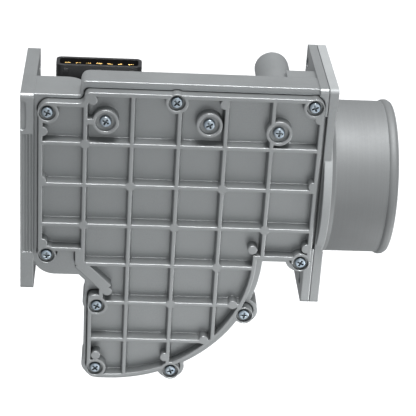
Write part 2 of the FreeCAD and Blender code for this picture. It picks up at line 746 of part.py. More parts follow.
def make_outlet_adapter():
    axis = ("0", "0")
    plate = rounded_block("adapter_plate", (PLATE_FACE, PLATE_REAR),
                          ("flange_front", "flange_back"),
                          ("outlet_flange_bottom", "outlet_flange_top"), "X", "flange_corner")
    scoops = []
    for name, low, high in (("scoop_front", "flange_front - 1", "flange_front + 6"),
                            ("scoop_back", "flange_back - 6", "flange_back + 1")):
        scoops.append(block(name, (PLATE_REAR + " - plate_pad", PLATE_REAR + " + 1"), (low, high),
                            ("outlet_flange_bottom + pad_height * 2.6",
                             "outlet_flange_top - pad_height")))
    relieved = cut("adapter_relieved", plate, *scoops)
    root = rod("adapter_root", "X", "collar_radius", axis, (PLATE_FACE + " + plate_pad", PLATE_REAR))
    collar = cone("adapter_collar", "X", ("collar_radius", "neck_radius"), axis,
                  (PLATE_REAR, PLATE_REAR + " + collar_width"))
    neck = rod("adapter_neck", "X", "neck_radius", axis, (PLATE_FACE + " + 1", NECK_END))
    ring = rod("adapter_bead", "X", "neck_radius + bead_height", axis,
               (NECK_END + " - bead_width", NECK_END))
    bead = DOC.addObject("Part::Fillet", "adapter_bead_rounded")
    DOC.recompute()
    bead.Base = ring
    rims = [index for index, edge in enumerate(ring.Shape.Edges, start=1)
            if edge.Curve.TypeId == "Part::GeomCircle"]
    soft = size("bead_width") * 0.42
    bead.Edges = [(index, soft, soft) for index in rims]
    bores = [rod("adapter_bore", "X", "neck_radius - neck_wall", axis,
                 (PLATE_REAR, NECK_END + " + 1")),
             port("adapter_port", (PLATE_FACE + " - 1", PLATE_REAR + " + 1"))]
    for number, place in enumerate(OUTLET_BOLTS, start=1):
        bores.append(rod("adapter_hole%d" % number, "X", "bolt_hole_radius", place,
                         (PLATE_FACE + " - 1", PLATE_REAR + " + 1")))
        bores.append(cone("adapter_sink%d" % number, "X",
                          ("m6_radius + sink_clearance", "m6_head_radius + sink_clearance"), place,
                          (PLATE_REAR + " - m6_head_height", PLATE_REAR + " - plate_pad")))
        bores.append(rod("adapter_sink_mouth%d" % number, "X", "m6_head_radius + sink_clearance",
                         place, (PLATE_REAR + " - plate_pad", PLATE_REAR + " + 1")))
    return cut("outlet_adapter", fuse("adapter_body", relieved, root, collar, neck, bead), *bores)


def make_outlet_gasket():
    sheet = block("outlet_sheet", ("body_length", PLATE_FACE),
                  ("flange_front + groove_depth", "flange_back - 1"),
                  ("outlet_flange_bottom + 1", "outlet_flange_top - 1"))
    holes = [port("gasket_port", ("body_length - 1", PLATE_FACE + " + 1"))]
    for number, place in enumerate(OUTLET_BOLTS, start=1):
        holes.append(rod("gasket_hole%d" % number, "X", "bolt_hole_radius", place,
                         ("body_length - 1", PLATE_FACE + " + 1")))
    return cut("outlet_gasket", sheet, *holes)


def make_outlet_screws():
    """Countersunk screws with a hexagon socket, flush with the plate."""
    screws = []
    for number, place in enumerate(OUTLET_BOLTS, start=1):
        head = cone("m6_head%d" % number, "X", ("m6_radius", "m6_head_radius"), place,
                    (PLATE_REAR + " - m6_head_height", PLATE_REAR + " - plate_pad"))
        shank = rod("m6_shank%d" % number, "X", "m6_radius", place,
                    (PLATE_REAR + " - m6_length", PLATE_REAR + " - m6_head_height / 2"))
        socket = DOC.addObject("Part::Prism", "m6_socket%d" % number)
        socket.Polygon = 6
        bind(socket, Circumradius="m6_radius * 0.75", Height="m6_head_height")
        socket.Placement.Rotation = AXIS_TURN["X"]
        put(socket, (PLATE_REAR + " - m6_head_height * 0.8", place[0], place[1]))
        screws.append(cut("m6_screw%d" % number, fuse("m6_body%d" % number, head, shank), socket))
    return group("outlet_screws", *screws)


# ---- Cross-recess pan screws ----

def pan_screw(name, place, seat, length, turn):
    """A pan screw whose head faces -Y and rests at Y = seat."""
    head_top = "%s - screw_head_height" % seat
    head = rod(name + "_head", "Y", "screw_head_radius", place, (head_top, seat))
    DOC.recompute()
    crown = DOC.addObject("Part::Fillet", name + "_crown")
    crown.Base = head
    front = min(range(len(head.Shape.Edges)), key=lambda i: head.Shape.Edges[i].CenterOfMass.y)
    soft = size("screw_head_height") * 0.55
    crown.Edges = [(front + 1, soft, soft)]
    shank = rod(name + "_shank", "Y", "screw_radius", place,
                ("%s - 0.5" % seat, "%s + %s" % (seat, length)))
    slots = []
    for number in (0, 1):
        slot = DOC.addObject("Part::Box", "%s_slot%d" % (name, number))
        bind(slot, Length="screw_head_radius * 1.24", Width="screw_head_height * 0.8",
             Height="screw_head_radius * 0.3")
        angle = turn + 90.0 * number
        slot.Placement.Rotation = Rotation(Vector(0, 1, 0), angle)
        half = size("screw_head_radius") * 0.62
        thin = size("screw_head_radius") * 0.15
        shift = Rotation(Vector(0, 1, 0), angle).multVec(Vector(-half, 0, -thin))
        x, z = place
        put(slot, ("%s + %.4f" % (x, shift.x), head_top + " - 0.01", "%s + %.4f" % (z, shift.z)))
        slots.append(slot)
    return cut(name, fuse(name + "_body", crown, shank), *slots)


def slotted_screw(name, place, seat, tip):
    """A small cheese-head screw whose head faces +Y and rests at Y = seat."""
    head = rod(name + "_head", "Y", "board_screw_radius * 1.9", place, (seat, seat + " + 1.3"))
    shank = rod(name + "_shank", "Y", "board_screw_radius", place, (tip, seat + " + 0.5"))
    slot = block(name + "_slot", ("%s - 3" % place[0], "%s + 3" % place[0]),
                 (seat + " + 0.7", seat + " + 2"), ("%s - 0.3" % place[1], "%s + 0.3" % place[1]))
    return cut(name, fuse(name + "_body", head, shank), slot)


def make_cover_screws():
    screws = []
    for number, place in enumerate(EDGE_SCREWS, start=1):
        screws.append(pan_screw("edge_screw%d" % number, place, "(cover_front + land_depth)",
                                "screw_length", 23.0 * number))
    return group("cover_screws", *screws)


def make_web_screws():
    screws = []
    for number, place in enumerate(WEB_SCREWS, start=1):
        screws.append(pan_screw("web_screw%d" % number, place, "(cover_front + land_depth)",
                                "screw_length", 31.0 * number))
    return group("web_screws", *screws)


# ---- Vane, shaft and bearings ----

HUB = ("shaft_x", "shaft_z")
VANE_SPAN = ("cover_back + vane_gap", "duct_back - vane_gap")


def make_vane():
    hub = rod("vane_hub", "Y", "hub_radius", HUB, VANE_SPAN)
    plate = back_rounded("measuring_plate", ("shaft_x - vane_offset - vane_thick / 2",
                                             "shaft_x - vane_offset + vane_thick / 2"), VANE_SPAN,
                         ("shaft_z", "shaft_z + vane_length"), 1.0)
    damper = block("damping_plate", ("shaft_x", "shaft_x + damper_length"), VANE_SPAN,
                   ("shaft_z - damper_offset - vane_thick / 2",
                    "shaft_z - damper_offset + vane_thick / 2"))
    recess = rod("vane_recess", "Y", "bush_boss_radius + vane_gap", HUB,
                 ("cover_back - 1", "cover_back + front_bush_length + vane_gap"))
    bore = rod("vane_bore", "Y", "shaft_radius + bearing_clearance", HUB,
               ("cover_back - 1", "duct_back + 1"))
    return cut("vane", fuse("vane_body", hub, plate, damper), recess, bore)


def make_shaft():
    body = rod("shaft_body", "Y", "shaft_radius", HUB, ("shaft_front", "shaft_rear"))
    groove = cut("clip_groove",
                 rod("clip_groove_outer", "Y", "shaft_radius + 1", HUB,
                     ("shaft_rear - clip_setback", "shaft_rear - clip_setback + clip_thick")),
                 rod("clip_groove_inner", "Y", "shaft_radius - 0.5", HUB,
                     ("shaft_rear - clip_setback - 1", "shaft_rear")))
    return cut("vane_shaft", body, groove)


def make_shaft_clip():
    span = ("shaft_rear - clip_setback + 0.05", "shaft_rear - clip_setback + clip_thick - 0.05")
    disc = rod("clip_disc", "Y", "shaft_radius + 1.6", HUB, span)
    bore = rod("clip_bore", "Y", "shaft_radius - 0.45", HUB, ("shaft_rear - 5", "shaft_rear"))
    gap = block("clip_gap", ("shaft_x - 1.6", "shaft_x + 1.6"), ("shaft_rear - 5", "shaft_rear"),
                ("shaft_z - shaft_radius - 4", "shaft_z - 1"))
    return cut("shaft_clip", disc, bore, gap)


def make_bush(name, span):
    return cut(name, rod(name + "_outer", "Y", "bush_radius", HUB, span),
               rod(name + "_bore", "Y", "shaft_radius + bearing_clearance", HUB,
                   ("%s - 1" % span[0], "%s + 1" % span[1])))


def make_bumper():
    body = block("bumper_block", ("stop_face", "stop_face + bumper_thick"),
                 ("duct_back - bumper_height * 2", "duct_back - bumper_height"),
                 ("bumper_bottom", "bumper_bottom + bumper_height"))
    return fillet("vane_bumper", body, size("bumper_thick") * 0.3,
                  lambda direction, middle: abs(direction.y) > 0.999
                  and middle.x > size("stop_face") + size("bumper_thick") - 0.1)


# ---- Spring wheel, spring and wiper, behind the back wall ----

def turned_block(name, angle, across, y, reach):
    """A block across the shaft's radius, turned about the shaft by an angle from +Z towards +X."""
    obj = DOC.addObject("Part::Box", name)
    bind(obj, Length="(%s) - (%s)" % (across[1], across[0]), Width="(%s) - (%s)" % (y[1], y[0]),
         Height="(%s) - (%s)" % (reach[1], reach[0]))
    obj.Placement.Rotation = Rotation(Vector(0, 1, 0), angle)
    sine, cosine = math.sin(math.radians(angle)), math.cos(math.radians(angle))
    x = "shaft_x + (%s) * %.6f + (%s) * %.6f" % (across[0], cosine, reach[0], sine)
    z = "shaft_z - (%s) * %.6f + (%s) * %.6f" % (across[0], sine, reach[0], cosine)
    return put(obj, (x, y[0], z))


def make_spring_wheel():
    """A toothed cup that turns on the bearing tower and holds the spring's outer end."""
    rear = "wheel_front + wheel_depth"
    rim = rod("wheel_rim", "Y", "wheel_radius - tooth_height", HUB, ("wheel_front", rear))
    cup = rod("wheel_cup", "Y", "wheel_radius - tooth_height - wheel_wall", HUB,
              ("wheel_front + wheel_floor", rear + " + 1"))
    bore = rod("wheel_bore", "Y", "tower_radius + bearing_clearance", HUB,
               ("wheel_front - 1", rear))
    count = round(360.0 / size("tooth_pitch_deg"))
    teeth = []
    for index in range(count):
        teeth.append(turned_block("wheel_tooth%d" % index, index * size("tooth_pitch_deg"),
                                  ("-tooth_height * 0.45", "tooth_height * 0.45"),
                                  ("wheel_front", rear),
                                  ("wheel_radius - tooth_height * 1.4", "wheel_radius")))
    return cut("spring_wheel", fuse("wheel_toothed", rim, *teeth), cup, bore)


def make_return_spring():
    """A flat strip wound in a spiral from the wiper's sleeve out to the wheel's wall."""
    turns, strip = size("spring_turns"), size("spring_strip")
    inner, outer = size("spring_inner"), size("spring_outer")
    steps = int(turns * 24)

    def edge(side):
        points = []
        for step in range(steps + 1):
            angle = 2 * math.pi * turns * step / steps
            radius = inner + (outer - inner) * step / steps + side * strip / 2
            points.append(Vector(radius * math.sin(angle), 0, radius * math.cos(angle)))
        curve = Part.BSplineCurve()
        curve.interpolate(points)
        return curve.toShape(), points[0], points[-1]

    near, near_first, near_last = edge(-1)
    far, far_first, far_last = edge(1)
    wire = Part.Wire([near, Part.makeLine(near_last, far_last), far,
                      Part.makeLine(far_first, near_first)])
    spring = DOC.addObject("Part::Feature", "return_spring")
    spring.Shape = Part.Face(wire).extrude(Vector(0, size("spring_width"), 0))
    return put(spring, ("shaft_x", "sleeve_front", "shaft_z"))


LOCK_ANGLE = 250.0
LOCK_SCREW_REACH = "wheel_radius + 8"


def make_wheel_lock():
    """A leaf whose nose rests between two teeth, held by one screw on the box's floor."""
    angle = LOCK_ANGLE
    leaf = turned_block("lock_leaf", angle, ("-2.5", "2.5"), ("wheel_front + 2", "wheel_front + 3"),
                        ("wheel_radius + 0.15", "wheel_radius + 11"))
    foot = turned_block("lock_foot", angle, ("-2.5", "2.5"), ("back_wall", "wheel_front + 3"),
                        ("wheel_radius + 5", "wheel_radius + 11"))
    hole = rod("lock_hole", "Y", "board_screw_radius + screw_clearance",
               polar(angle, LOCK_SCREW_REACH), ("back_wall - 1", "wheel_front + 5"))
    return cut("wheel_lock", fuse("lock_body", leaf, foot), hole)


def make_wheel_lock_screw():
    return slotted_screw("wheel_lock_screw", polar(LOCK_ANGLE, LOCK_SCREW_REACH), "wheel_front + 3",
                         "back_wall - 2.5")


def make_wiper_hub():
    sleeve = rod("sleeve", "Y", "hub_sleeve_radius", HUB, ("sleeve_front", "sleeve_rear"))
    return cut("wiper_hub", sleeve,
               rod("sleeve_bore", "Y", "shaft_radius + bearing_clearance", HUB,
                   ("sleeve_front - 1", "sleeve_rear + 1")))


def make_wiper_arm():
    angle = -size("arm_angle")
    span = ("arm_front", "arm_front + arm_thick")
    bar = turned_block("arm_bar", angle, ("-arm_width / 2", "arm_width / 2"), span,
                       ("-weight_reach", "arm_reach"))
    eye = rod("arm_eye", "Y", "hub_sleeve_radius + 2", HUB, span)
    tail = rod("arm_tail", "Y", "weight_radius", polar(angle, "-weight_reach"), span)
    bore = rod("arm_bore", "Y", "hub_sleeve_radius + bearing_clearance", HUB,
               ("arm_front - 1", "arm_front + arm_thick + 1"))
    return cut("wiper_arm", fuse("arm_body", bar, eye, tail), bore)


def make_wiper_contact():
    angle = -size("arm_angle")
    tips = []
    for number, radius in enumerate(("arm_reach - 1.6", "arm_reach - 4.2"), start=1):
        tips.append(rod("contact_tip%d" % number, "Y", "0.9", polar(angle, radius),
                        ("board_front + board_thick + 0.15", "arm_front")))
    return group("wiper_contact", *tips)


def make_counterweight():
    angle = -size("arm_angle")
    return fillet_rims("counterweight",
                       rod("weight_body", "Y", "weight_radius", polar(angle, "-weight_reach"),
                           ("arm_front + arm_thick", "arm_front + arm_thick + weight_depth")), 0.6)


def fillet_rims(name, base, radius):
    """Rounds the circular edges of a turned piece."""
    DOC.recompute()
    rims = [index for index, edge in enumerate(base.Shape.Edges, start=1)
            if edge.Curve.TypeId == "Part::GeomCircle"]
    obj = DOC.addObject("Part::Fillet", name)
    obj.Base = base
    obj.Edges = [(index, radius, radius) for index in rims]
    return obj


def make_track_board():
    plate = block("board_plate", ("board_left", "board_right"),
                  ("board_front", "board_front + board_thick"), ("board_bottom", "board_top"))
    holes = [rod("board_hole%d" % number, "Y", "board_screw_radius + screw_clearance", place,
                 ("board_front - 1", "board_front + board_thick + 1"))
             for number, place in enumerate(BOARD_POSTS, start=1)]
    return cut("track_board", plate, *holes)


def make_board_screws():
    return group("board_screws", *[
        slotted_screw("board_screw%d" % number, place, "board_front + board_thick", "board_front - 4")
        for number, place in enumerate(BOARD_POSTS, start=1)])


def make_temp_sensor():
    centre = ("sensor_x", "sensor_z")
    plug = rod("sensor_plug", "Y", "sensor_radius", centre, ("duct_back - 1", "back_wall"))
    cap = rod("sensor_cap", "Y", "sensor_radius + 1.5", centre, ("back_wall", "back_wall + 1.6"))
    stem = rod("sensor_stem", "Y", "sensor_radius * 0.5", centre,
               ("duct_back - sensor_reach", "duct_back"))
    bead = DOC.addObject("Part::Sphere", "sensor_bead")
    bind(bead, Radius="sensor_radius * 0.7")
    put(bead, ("sensor_x", "duct_back - sensor_reach", "sensor_z"))
    return fuse("air_temp_sensor", plug, cap, stem, bead)


# ---- Electronics cover and connector ----

def make_electronics_cover():
    face = ("box_back + lid_seal", "box_back + lid_seal + lid_thick")
    plate = rounded_block("lid_plate", ("box_left", "box_right"), face, ("box_bottom", "box_top"),
                          "Y", "box_corner")
    inset = "box_wall + 0.3"
    lip_y = ("box_back - lid_lip", "box_back + lid_seal + 0.5")
    lip = block("lid_lip_outer", ("box_left + " + inset, "box_right - (%s)" % inset), lip_y,
                ("box_bottom + " + inset, "box_top - (%s)" % inset))
    hollow = block("lid_lip_inner", ("box_left + %s + lid_lip" % inset,
                                     "box_right - (%s) - lid_lip" % inset),
                   ("box_back - lid_lip - 1", "box_back + lid_seal"),
                   ("box_bottom + %s + lid_lip" % inset, "box_top - (%s) - lid_lip" % inset))
    panel = rounded_block("lid_panel", ("box_left + 9", "box_right - 9"),
                          ("box_back + lid_seal + lid_thick - 0.5",
                           "box_back + lid_seal + lid_thick + 0.8"),
                          ("box_bottom + 9", "box_top - 9"), "Y", "socket_corner")
    return cut("electronics_cover", fuse("lid_body", plate, lip, panel), hollow)


def make_electronics_seal():
    face = ("box_back", "box_back + lid_seal")
    bead = rounded_block("lid_seal_outer", ("box_left + 0.6", "box_right - 0.6"), face,
                         ("box_bottom + 0.6", "box_top - 0.6"), "Y", "box_corner")
    inside = block("lid_seal_inner", ("box_left + box_wall", "box_right - box_wall"),
                   ("box_back - 1", "box_back + lid_seal + 1"),
                   ("box_bottom + box_wall", "box_top - box_wall"))
    return cut("electronics_seal", bead, inside)


PIN_PLACES = ["(socket_left + socket_right) / 2 + pin_pitch * %d" % step for step in range(-3, 4)]
PIN_MIDDLE = "((socket_front + socket_back) / 2 + pin_setback)"
SOCKET_FLOOR = "socket_top - socket_depth"
PIN_FOOT = "box_top - box_wall - 3"


def pin_block(name, x, grow, z):
    """One flat pin, or with a growth the slot that it stands in."""
    return block(name, ("%s - pin_width / 2 - %s" % (x, grow), "%s + pin_width / 2 + %s" % (x, grow)),
                 ("%s - pin_thick / 2 - %s" % (PIN_MIDDLE, grow),
                  "%s + pin_thick / 2 + %s" % (PIN_MIDDLE, grow)), z)


def make_connector_shell():
    shell = rounded_block("socket_shell", ("socket_left", "socket_right"),
                          ("socket_front", "socket_back"), ("box_top + lid_seal", "socket_top"),
                          "Z", "socket_corner")
    foot = rounded_block("socket_foot", ("socket_left - socket_foot", "socket_right + socket_foot"),
                         ("socket_front", "socket_back"),
                         ("box_top + lid_seal", "box_top + lid_seal + socket_foot"), "Z", "socket_corner")
    plug = block("socket_plug", ("socket_left + socket_foot + 0.2", "socket_right - socket_foot - 0.2"),
                 ("socket_front + socket_wall + 0.2", "socket_back - socket_wall - 0.2"),
                 ("box_top - box_wall", "box_top + 2"))
    mouth = rounded_block("socket_mouth", ("socket_left + socket_wall", "socket_right - socket_wall"),
                          ("socket_front + socket_wall", "socket_back - socket_wall"),
                          (SOCKET_FLOOR, "socket_top + 1"), "Z", "socket_wall")
    slots = [pin_block("pin_slot%d" % number, x, "thread_clearance", ("box_top - 10", "socket_top"))
             for number, x in enumerate(PIN_PLACES, start=1)]
    latches = [block("latch_nub%d" % number, ("%s - 1.2" % x, "%s + 1.2" % x),
                     ("socket_front - 0.8", "socket_front + 0.5"),
                     ("socket_top - 3.6", "socket_top - 1.8"))
               for number, x in enumerate(("socket_left + 5", "(socket_left + socket_right) / 2",
                                           "socket_right - 5"), start=1)]
    return cut("connector_shell", fuse("socket_body", shell, foot, plug, *latches), mouth, *slots)


def make_connector_seal():
    outer = rounded_block("socket_seal_outer",
                          ("socket_left - socket_foot + 0.4", "socket_right + socket_foot - 0.4"),
                          ("socket_front + 0.4", "socket_back - 0.4"),
                          ("box_top", "box_top + lid_seal"), "Z", "socket_corner")
    inner = block("socket_seal_inner", ("socket_left + socket_foot", "socket_right - socket_foot"),
                  ("socket_front + socket_wall", "socket_back - socket_wall"),
                  ("box_top - 1", "box_top + lid_seal + 1"))
    return cut("connector_seal", outer, inner)


def make_connector_pins():
    pins = [pin_block("pin%d" % number, x, "0", (PIN_FOOT, SOCKET_FLOOR + " + pin_rise"))
            for number, x in enumerate(PIN_PLACES, start=1)]
    return group("connector_pins", *pins)


def make_contact_leads():
    leads = []
    for number, x in enumerate(PIN_PLACES, start=1):
        leads.append(block("lead%d" % number, ("%s - pin_width / 2" % x, "%s + pin_width / 2" % x),
                           ("board_front + board_thick + 0.1", PIN_MIDDLE + " - pin_thick / 2 - 0.1"),
                           ("board_top - 4", PIN_FOOT + " + 2")))
    return group("contact_leads", *leads)


# ---- Fuel pump switch ----

def make_pump_switch_base():
    base = block("switch_block", ("box_left + box_wall", "box_left + box_wall + 8"),
                 ("back_wall", "sleeve_rear"), ("box_bottom + box_wall", "box_bottom + box_wall + 10"))
    slots = [block("blade_slot%d" % number, ("box_left + box_wall + 3", "box_left + box_wall + 9"),
                   ("sleeve_rear - 7", "sleeve_rear - 1"),
                   ("box_bottom + box_wall + %s - 0.05" % height,
                    "box_bottom + box_wall + %s + 0.35" % height))
             for number, height in enumerate(("3", "6"), start=1)]
    return cut("pump_switch_base", base, *slots)


def make_pump_contacts():
    blades = [block("blade%d" % number, ("box_left + box_wall + 3.1", "box_left + box_wall + 26"),
                    ("sleeve_rear - 6.9", "sleeve_rear - 1.1"),
                    ("box_bottom + box_wall + %s" % height,
                     "box_bottom + box_wall + %s + 0.3" % height))
              for number, height in enumerate(("3", "6"), start=1)]
    return group("pump_contacts", *blades)


# ---- Bypass adjuster ----

BYPASS = ("boss_x", "boss_z")


def make_bypass_screw():
    front = "bypass_screw_rear - bypass_screw_length"
    body = rod("bypass_thread", "Y", "bypass_radius", BYPASS, (front, "bypass_screw_rear"))
    tip = cone("bypass_tip", "Y", ("seat_radius * 0.55", "bypass_radius * 0.9"), BYPASS,
               (front + " - 3.4", front + " + 0.2"))
    groove = cut("ring_groove",
                 rod("ring_groove_outer", "Y", "bypass_radius + 1", BYPASS,
                     (front + " + ring_setback - ring_section - 0.2",
                      front + " + ring_setback + ring_section + 0.2")),
                 rod("ring_groove_inner", "Y", "bypass_radius - ring_section * 2.1", BYPASS,
                     (front, "bypass_screw_rear")))
    slot = block("driver_slot", ("boss_x - bypass_radius", "boss_x + bypass_radius"),
                 ("bypass_screw_rear - 1.8", "bypass_screw_rear + 1"), ("boss_z - 0.6", "boss_z + 0.6"))
    return cut("bypass_screw", fuse("bypass_body", body, tip), groove, slot)


def make_bypass_seal():
    ring = DOC.addObject("Part::Torus", "bypass_seal")
    bind(ring, Radius1="bypass_radius - ring_section + thread_clearance / 2",
         Radius2="ring_section * 0.95")
    ring.Placement.Rotation = AXIS_TURN["Y"]
    return put(ring, ("boss_x", "bypass_screw_rear - bypass_screw_length + ring_setback", "boss_z"))


# ---- Build and write ----

SUB_PARTS = [
    make_housing(), make_base_cover(), make_cover_gasket(), make_cover_screws(), make_web_screws(),
    make_outlet_adapter(), make_outlet_gasket(), make_outlet_screws(),
    make_vane(), make_shaft(), make_shaft_clip(), make_bumper(),
    make_bush("front_bush", ("shaft_front + 0.2", "cover_back + front_bush_length - 0.4")),
    make_bush("rear_bush", ("duct_back", "back_wall + tower_length")),
    make_spring_wheel(), make_return_spring(), make_wheel_lock(), make_wheel_lock_screw(),
    make_wiper_hub(),
    make_wiper_arm(), make_wiper_contact(), make_counterweight(),
    make_track_board(), make_board_screws(), make_temp_sensor(),
    make_electronics_cover(), make_electronics_seal(),
    make_connector_shell(), make_connector_seal(), make_connector_pins(), make_contact_leads(),
    make_pump_switch_base(), make_pump_contacts(), make_bypass_screw(), make_bypass_seal(),
]
DOC.recompute()

for item in DOC.Objects:
    if "Invalid" in item.State or "Error" in item.State:
        raise RuntimeError("%s is %s" % (item.Name, item.State))
for item in SUB_PARTS:
    if item.Shape.isNull() or not item.Shape.isValid():
        raise RuntimeError(item.Label + " has no valid shape")

os.makedirs("parts", exist_ok=True)
for item in SUB_PARTS:
    item.Shape.exportStep("parts/%s.step" % item.Label)
    print("%-20s solids %2d  volume %10.1f" % (item.Label, len(item.Shape.Solids), item.Shape.Volume))
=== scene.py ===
import json
import math
import bpy
from mathutils import Matrix, Vector


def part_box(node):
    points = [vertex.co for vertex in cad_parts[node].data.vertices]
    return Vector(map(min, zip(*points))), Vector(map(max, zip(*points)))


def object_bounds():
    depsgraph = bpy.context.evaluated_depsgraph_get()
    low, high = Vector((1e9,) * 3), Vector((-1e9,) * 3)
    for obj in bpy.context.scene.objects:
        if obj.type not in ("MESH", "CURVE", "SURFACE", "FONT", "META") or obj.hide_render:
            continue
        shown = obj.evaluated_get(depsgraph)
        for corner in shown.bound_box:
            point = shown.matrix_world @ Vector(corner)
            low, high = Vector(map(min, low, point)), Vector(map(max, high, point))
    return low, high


# Looks for a vane-type air flow meter: cast aluminium body and cover, zinc screws, black connector.

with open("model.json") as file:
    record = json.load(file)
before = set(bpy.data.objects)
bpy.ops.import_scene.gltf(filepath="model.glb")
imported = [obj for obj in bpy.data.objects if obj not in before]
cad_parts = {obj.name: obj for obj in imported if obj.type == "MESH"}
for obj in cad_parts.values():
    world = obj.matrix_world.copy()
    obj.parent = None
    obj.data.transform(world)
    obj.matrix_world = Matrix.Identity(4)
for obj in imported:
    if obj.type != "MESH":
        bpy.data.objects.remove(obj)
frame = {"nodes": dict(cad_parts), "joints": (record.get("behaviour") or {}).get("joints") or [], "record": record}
NODES = frame["nodes"]
JOINTS = {joint["name"]: joint for joint in frame["joints"]}
rest_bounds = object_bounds()
MM = 0.001

# ---- Material building ----


class Nodes:
    """A material's node tree, built one line at a time."""

    def __init__(self, name):
        self.mat = bpy.data.materials.new(name)
        self.mat.use_nodes = True
        self.tree = self.mat.node_tree
        self.shader = self.tree.nodes["Principled BSDF"]
        self.place = self.add("ShaderNodeTexCoord").outputs["Object"]

    def add(self, kind, **settings):
        node = self.tree.nodes.new(kind)
        for key, value in settings.items():
            setattr(node, key, value)
        return node

    def link(self, source, target):
        self.tree.links.new(source, target)

    def axis(self, name):
        """One coordinate of the shaded point, in metres."""
        split = self.add("ShaderNodeSeparateXYZ")
        self.link(self.place, split.inputs[0])
        return split.outputs[name]

    def stretched(self, stretch):
        """The shaded point, scaled along each axis."""
        node = self.add("ShaderNodeMapping")
        node.inputs["Scale"].default_value = stretch
        self.link(self.place, node.inputs["Vector"])
        return node.outputs["Vector"]

    def noise(self, scale, detail=3.0, rough=0.55, stretch=None):
        node = self.add("ShaderNodeTexNoise")
        node.inputs["Scale"].default_value = scale
        node.inputs["Detail"].default_value = detail
        node.inputs["Roughness"].default_value = rough
        self.link(self.stretched(stretch) if stretch else self.place, node.inputs["Vector"])
        return node.outputs["Fac"]

    def cells(self, scale):
        node = self.add("ShaderNodeTexVoronoi", feature="F1")
        node.inputs["Scale"].default_value = scale
        self.link(self.place, node.inputs["Vector"])
        return node.outputs["Distance"]

    def span(self, value, low, high, to_low, to_high):
        """Low to high becomes to_low to to_high, and stops there."""
        node = self.add("ShaderNodeMapRange")
        node.clamp = True
        for index, number in enumerate((low, high, to_low, to_high), start=1):
            node.inputs[index].default_value = number
        self.link(value, node.inputs[0])
        return node.outputs[0]

    def math(self, kind, first, second):
        node = self.add("ShaderNodeMath", operation=kind)
        for index, value in enumerate((first, second)):
            if isinstance(value, (int, float)):
                node.inputs[index].default_value = value
            else:
                self.link(value, node.inputs[index])
        return node.outputs[0]

    def mix(self, factor, first, second):
        """First at factor 0 and second at factor 1, each a colour or a node's output."""
        node = self.add("ShaderNodeMix", data_type="RGBA")
        self.link(factor, node.inputs["Factor"])
        for index, value in ((6, first), (7, second)):
            if isinstance(value, tuple):
                node.inputs[index].default_value = (*value, 1.0)
            else:
                self.link(value, node.inputs[index])
        return node.outputs[2]

    def rounded(self, radius):
        """A normal that turns over edges as if they were rounded."""
        bevel = self.add("ShaderNodeBevel", samples=6)
        bevel.inputs["Radius"].default_value = radius
        return bevel.outputs["Normal"]

    def edges(self, radius):
        """1 on edges and 0 on open faces."""
        turned = self.rounded(radius)
        shape = self.add("ShaderNodeNewGeometry")
        dot = self.add("ShaderNodeVectorMath", operation="DOT_PRODUCT")
        self.link(turned, dot.inputs[0])
        self.link(shape.outputs["Normal"], dot.inputs[1])
        return self.span(dot.outputs["Value"], 0.70, 0.99, 1.0, 0.0)

    def corner_shade_mask(self, reach):
        """Ambient occlusion: 0 deep in corners and 1 in the open, used to paint shade into corners."""
        node = self.add("ShaderNodeAmbientOcclusion", samples=8)
        node.inputs["Distance"].default_value = reach
        return self.span(node.outputs["AO"], 0.35, 0.95, 0.0, 1.0)

    def bump(self, height, strength, distance, before):
        """The normal before, tilted by a height that reaches distance at full strength."""
        node = self.add("ShaderNodeBump")
        node.inputs["Strength"].default_value = strength
        node.inputs["Distance"].default_value = distance
        self.link(height, node.inputs["Height"])
        self.link(before, node.inputs["Normal"])
        return node.outputs["Normal"]

    def roughness(self, first, share, second, limits):
        """Between two limits, by two noises of which the first has the share given."""
        both = self.math("ADD", self.math("MULTIPLY", first, share),
                         self.math("MULTIPLY", second, 1.0 - share))
        return self.span(both, 0.3, 0.7, *limits)

    def finish(self, color, roughness, normal, metallic):
        self.link(color, self.shader.inputs["Base Color"])
        self.link(roughness, self.shader.inputs["Roughness"])
        self.link(normal, self.shader.inputs["Normal"])
        self.shader.inputs["Metallic"].default_value = metallic
        return self.mat


def scaled(color, factor):
    return tuple(min(1.0, channel * factor) for channel in color)


# Share of the colour left where shade is painted into corners.
CORNER_SHADE = 0.80


